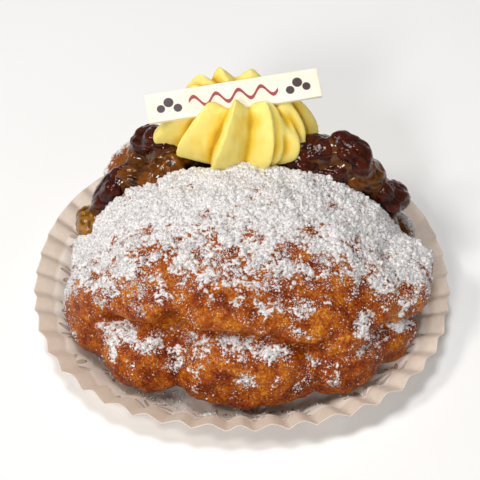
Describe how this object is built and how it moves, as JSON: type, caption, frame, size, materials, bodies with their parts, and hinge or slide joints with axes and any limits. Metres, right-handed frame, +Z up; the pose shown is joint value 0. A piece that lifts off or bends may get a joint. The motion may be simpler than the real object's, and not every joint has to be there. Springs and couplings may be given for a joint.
{
  "type": "raisin bun",
  "caption": "Sugar-dusted fried bun slit across the top and heaped with soaked raisins, with a piped custard swirl and a thin chocolate label, in a round fluted paper case.",
  "frame": {"origin": "middle of the paper case's flat underside, on the surface that it stands on", "axes": "+Z up, -Y towards the unbroken front half of the bun, +X along the slit to the right seen from the front"},
  "size_m": [0.1244, 0.1242, 0.0656],
  "materials": {
    "case_paper": "matt greaseproof paper with a grey-brown flower print",
    "fried_dough": "golden-brown fried crust, dusted with icing sugar",
    "raisin_syrup": "soaked raisins in clear syrup, glossy",
    "custard": "piped pastry cream, satin",
    "white_chocolate": "white chocolate plate with a printed ornament, satin"
  },
  "bodies": {
    "root": {"paper_case": "case_paper", "bun": "fried_dough", "raisin_filling": "raisin_syrup", "custard_swirl": "custard", "label_plaque": "white_chocolate"}
  },
  "joints": []
}
